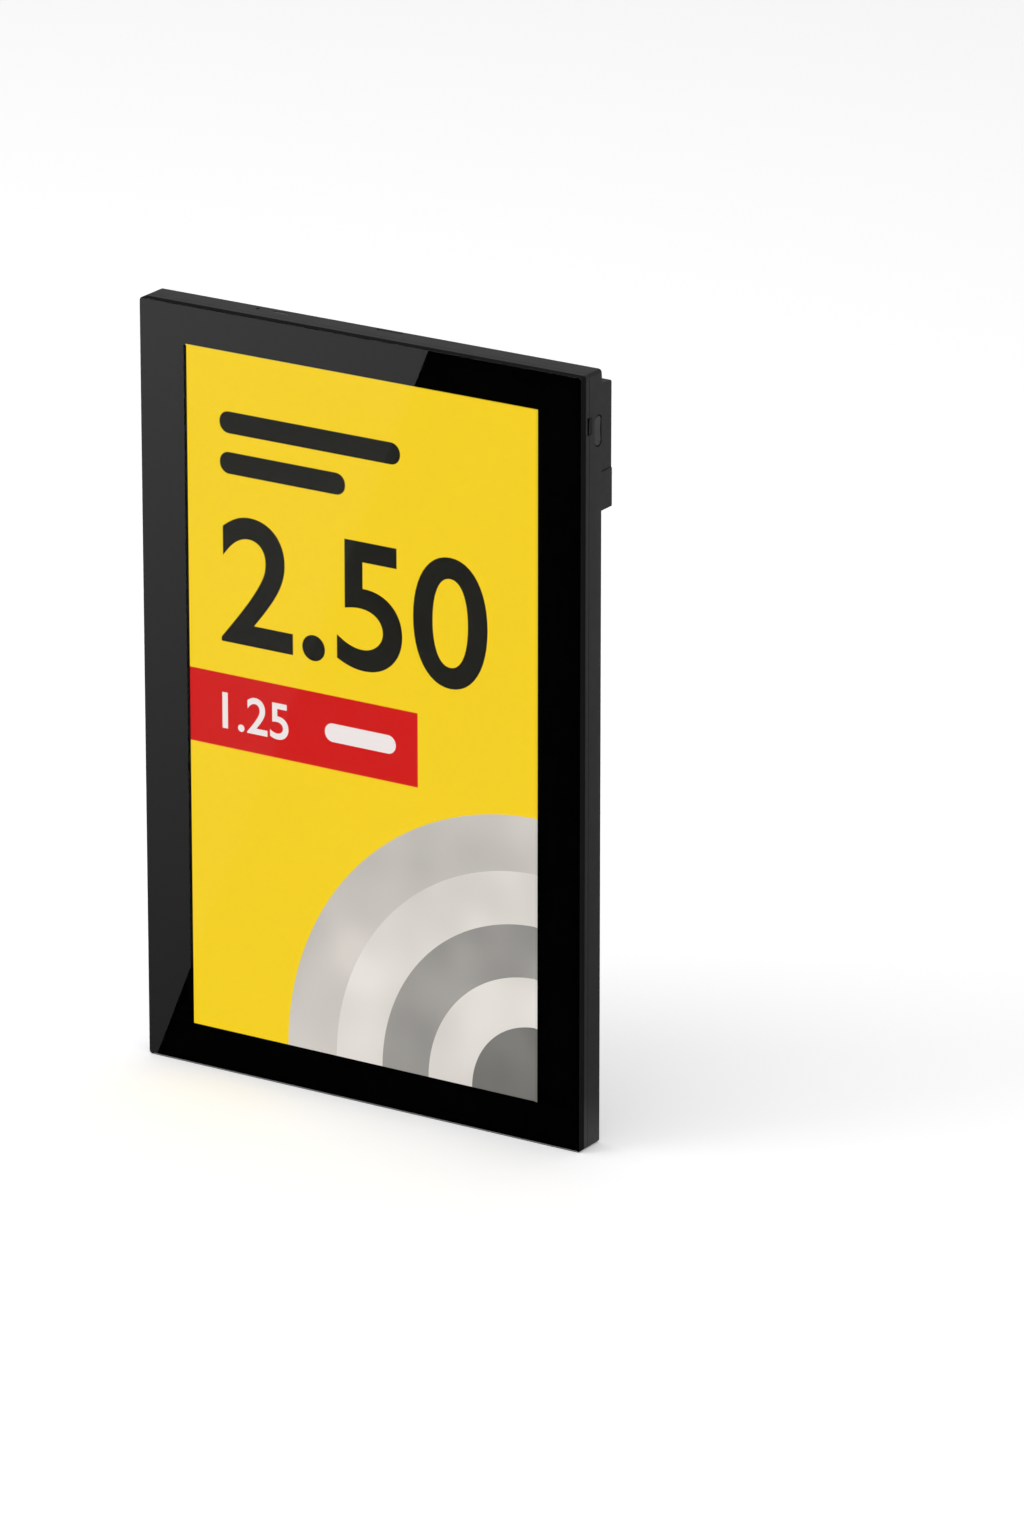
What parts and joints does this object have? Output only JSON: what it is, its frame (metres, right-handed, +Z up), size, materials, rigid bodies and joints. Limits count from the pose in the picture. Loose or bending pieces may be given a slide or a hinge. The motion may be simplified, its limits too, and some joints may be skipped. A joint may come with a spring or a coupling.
{
  "type": "electronic shelf label",
  "caption": "Portrait electronic shelf label with a full glass front, thin housing, lift-out battery module in a rear hump, hanging rail and side push button.",
  "frame": {"origin": "middle of the outer box, at its lowest face, on the surface that the label stands on", "axes": "+Z up the label, +X to the right seen from the front, -Y the way the screen faces, +Y towards the battery hump"},
  "size_m": [0.16, 0.0174, 0.248],
  "materials": {
    "clear_glass": "polished, toughened cover glass",
    "black_print": "opaque black print behind glass",
    "bonding_tape": "matt foam tape",
    "optical_film": "clear film",
    "screen_face": null,
    "display_glass": "thin display glass",
    "chip_black": "moulded chip body",
    "white_plastic": "white moulding",
    "sheet_steel": "stamped sheet",
    "ribbon_film": "amber polyimide",
    "housing_black": "fine spark-eroded texture",
    "panel_black": "smooth satin black",
    "button_black": "smooth satin black",
    "screw_steel": "zinc plated",
    "board_green": "green solder resist",
    "contact_gold": "gold plated",
    "cable_black": "thin black jacket",
    "lamp_window": "clear smoked window",
    "tray_black": "moulded black",
    "cell_wrap": "blue shrink wrap",
    "nickel_strip": "bright nickel"
  },
  "bodies": {
    "label_body": {"cover_glass": "clear_glass", "border_mask": "black_print", "lens_tape": "bonding_tape", "optical_adhesive": "optical_film", "front_polariser": "screen_face", "colour_filter_glass": "display_glass", "tft_glass": "display_glass", "driver_chips": "chip_black", "rear_polariser": "optical_film", "diffuser_film": "optical_film", "prism_film": "optical_film", "light_guide": "optical_film", "led_bar": "white_plastic", "reflector_film": "optical_film", "mould_frame": "white_plastic", "backlight_tray": "sheet_steel", "display_flex": "ribbon_film", "front_frame": "housing_black", "rear_housing": "housing_black", "rear_panel": "panel_black", "case_screws": "screw_steel", "main_board": "board_green", "shield_can": "sheet_steel", "board_chips": "chip_black", "display_connector": "white_plastic", "battery_springs": "contact_gold", "board_screws": "screw_steel", "antenna_film": "contact_gold", "antenna_cable": "cable_black", "antenna_socket": "contact_gold", "button_board": "board_green", "button_flex": "ribbon_film", "tact_switch": "chip_black", "led_board": "board_green", "status_led": "white_plastic", "light_sensor": "chip_black", "light_pipe": "lamp_window"},
    "battery_module": {"battery_door": "panel_black", "battery_tray": "tray_black", "battery_cells": "cell_wrap", "cell_board": "board_green", "cell_tabs": "nickel_strip", "battery_pads": "contact_gold"},
    "side_button": {"side_button": "button_black", "switch_plunger": "white_plastic"}
  },
  "joints": [
    {"name": "battery_module_lift", "type": "slide", "parent": "label_body", "child": "battery_module", "axis": [0, 1, 0], "range_m": [0, 0.03]},
    {"name": "side_button_press", "type": "slide", "parent": "label_body", "child": "side_button", "axis": [-1, 0, 0], "range_m": [0, 0.0005], "stiffness_N_per_m": 3000}
  ]
}
